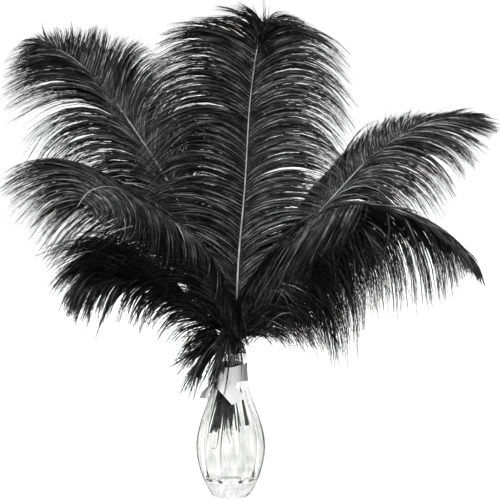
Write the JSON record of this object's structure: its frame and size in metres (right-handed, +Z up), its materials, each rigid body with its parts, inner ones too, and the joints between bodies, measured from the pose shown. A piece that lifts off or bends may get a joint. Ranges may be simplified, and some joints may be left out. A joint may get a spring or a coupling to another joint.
{
  "type": "ostrich feather bouquet in a glass bud vase",
  "caption": "Bunch of black-dyed ostrich plumes fanned out in a small fluted clear glass bud vase with a white satin ribbon tied round its neck.",
  "frame": {"origin": "centre of the flat underside of the vase, on the surface that it stands on", "axes": "+Z up along the vase's axis, +X to the right, the front of the bunch faces -Y"},
  "size_m": [0.4508, 0.2736, 0.4698],
  "materials": {
    "clear_glass": "clear, glossy, softly fluted",
    "white_satin": "white satin ribbon, soft sheen",
    "black_plumage": "black-dyed barbs, soft grey sheen, with a dark grey horny shaft"
  },
  "bodies": {
    "root": {"vase": "clear_glass", "neck_ribbon": "white_satin", "feather_centre": "black_plumage", "feather_upper_left": "black_plumage", "feather_upper_right": "black_plumage", "feather_lower_right": "black_plumage", "feather_lower_left": "black_plumage", "feather_bottom_left": "black_plumage"}
  },
  "joints": []
}
